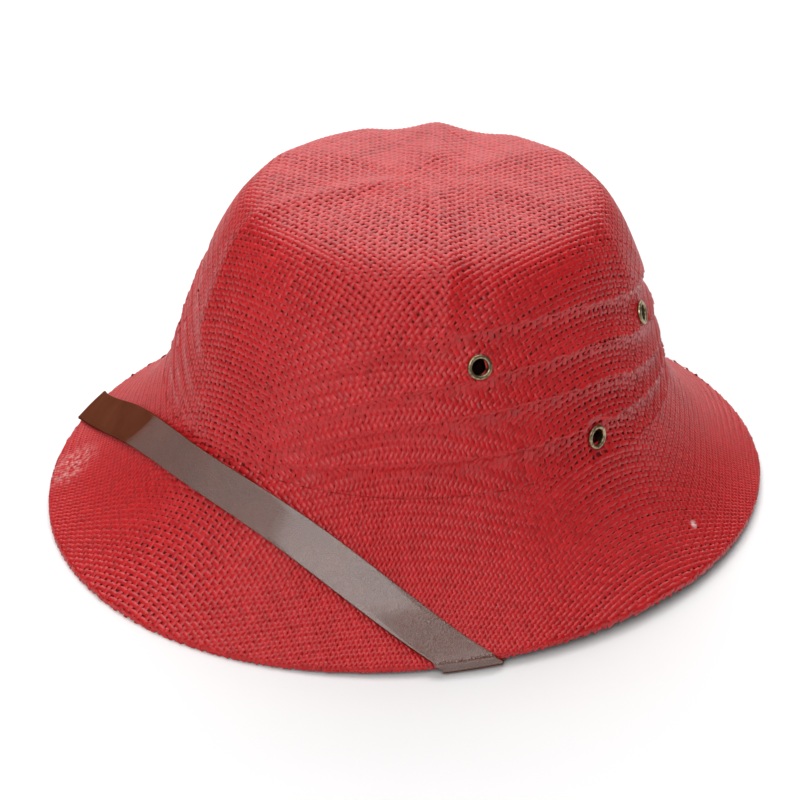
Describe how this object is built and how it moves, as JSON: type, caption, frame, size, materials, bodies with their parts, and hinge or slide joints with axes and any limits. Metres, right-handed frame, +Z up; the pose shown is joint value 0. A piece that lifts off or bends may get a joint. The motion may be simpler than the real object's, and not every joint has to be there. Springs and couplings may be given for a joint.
{
  "type": "straw sun hat",
  "caption": "Woven-straw sun hat with a ribbed, folded crown, a flared brim, metal vent eyelets and a leather chin strap stowed over the brim",
  "frame": {"origin": "centre of the bounding box in plan, at the height of the rim's resting edge", "axes": "+Z up through the crown, -Y towards the front of the hat, +X towards the wearer's left"},
  "size_m": [0.2636, 0.3096, 0.1358],
  "materials": {
    "straw": "woven paper straw, dyed red, slight sheen",
    "leather": "smooth, dark brown, satin",
    "brass": "aged, satin"
  },
  "bodies": {
    "root": {"crown": "straw", "brim": "straw", "chin_strap": "leather", "eyelet_left_front": "brass", "eyelet_left_low": "brass", "eyelet_left_back": "brass", "eyelet_right_front": "brass", "eyelet_right_low": "brass", "eyelet_right_back": "brass"}
  },
  "joints": []
}
